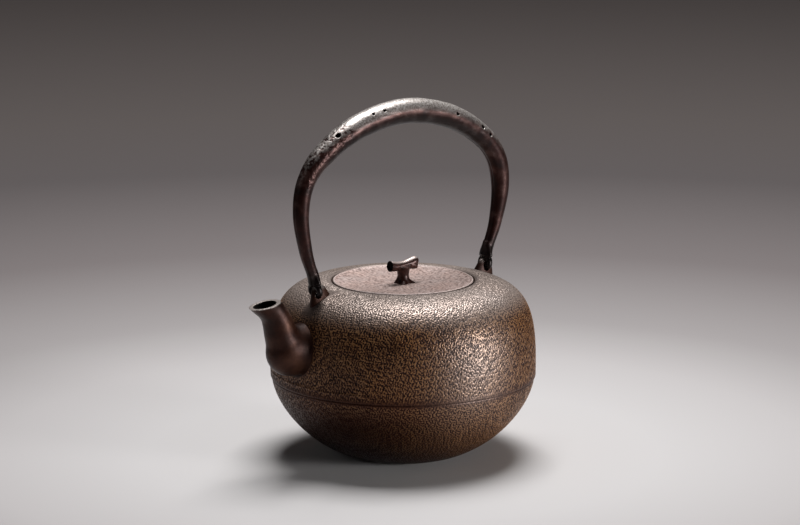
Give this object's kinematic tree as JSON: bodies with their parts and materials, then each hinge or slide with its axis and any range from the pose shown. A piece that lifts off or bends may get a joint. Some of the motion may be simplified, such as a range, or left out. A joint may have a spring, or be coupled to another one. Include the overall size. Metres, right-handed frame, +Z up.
{
  "type": "tetsubin",
  "caption": "Round cast-iron tea kettle with a short spout, a tall hollow forged bail handle hooked into two ears, and a dished drop-in lid with a twig knob.",
  "frame": {"origin": "centre of the flat that the kettle stands on", "axes": "+Z up; the spout points along -X; the handle stands in the XZ plane; Y runs across the handle"},
  "size_m": [0.2047, 0.1702, 0.2292],
  "materials": {
    "cast_iron_body": "lacquered, fine pebbled casting skin",
    "smooth_cast_iron": "lacquered, smooth casting skin",
    "forged_iron": "forged, lacquered, worn bare on top",
    "lid_iron": "fine sand-cast skin, thin lacquer",
    "knob_iron": "smooth, lacquered",
    "washer_brass": "dull, steam-tarnished"
  },
  "bodies": {
    "root": {"kettle_body": "cast_iron_body", "spout": "smooth_cast_iron", "ear_spout_side": "smooth_cast_iron", "ear_rear": "smooth_cast_iron", "handle": "forged_iron"},
    "lid": {"lid": "lid_iron", "lid_knob": "knob_iron", "knob_washer": "washer_brass"}
  },
  "joints": [
    {"name": "lid_lift", "type": "slide", "parent": "root", "child": "lid", "axis": [0, 0, 1], "range_m": [0, 0.08]}
  ]
}
